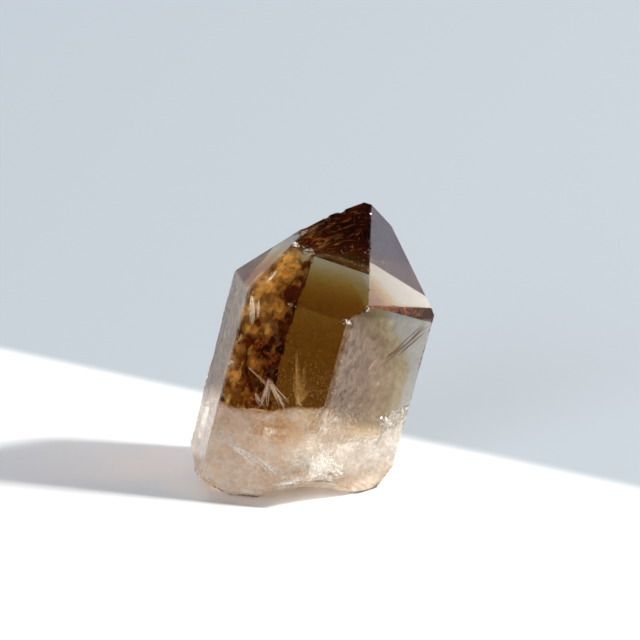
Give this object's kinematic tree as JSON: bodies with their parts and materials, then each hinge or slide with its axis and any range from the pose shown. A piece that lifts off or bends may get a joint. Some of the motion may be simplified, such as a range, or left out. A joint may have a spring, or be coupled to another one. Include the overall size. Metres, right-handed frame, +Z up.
{
  "type": "smoky quartz crystal",
  "caption": "Single smoky quartz point with flat prism and tip faces, leaning slightly as it stands on its broken foot.",
  "frame": {"origin": "under the middle of the crystal's bounding box, on the surface it stands on", "axes": "+Z up; -Y towards the viewer, where the broad front prism face looks; +X to the viewer's right, the way the tip leans"},
  "size_m": [0.049, 0.0378, 0.0576],
  "materials": {
    "smoky_quartz": "glossy natural crystal faces, see-through smoky brown above a milky foot; dull, shell-shaped breaks at the foot"
  },
  "bodies": {
    "root": {"quartz_point": "smoky_quartz"}
  },
  "joints": []
}
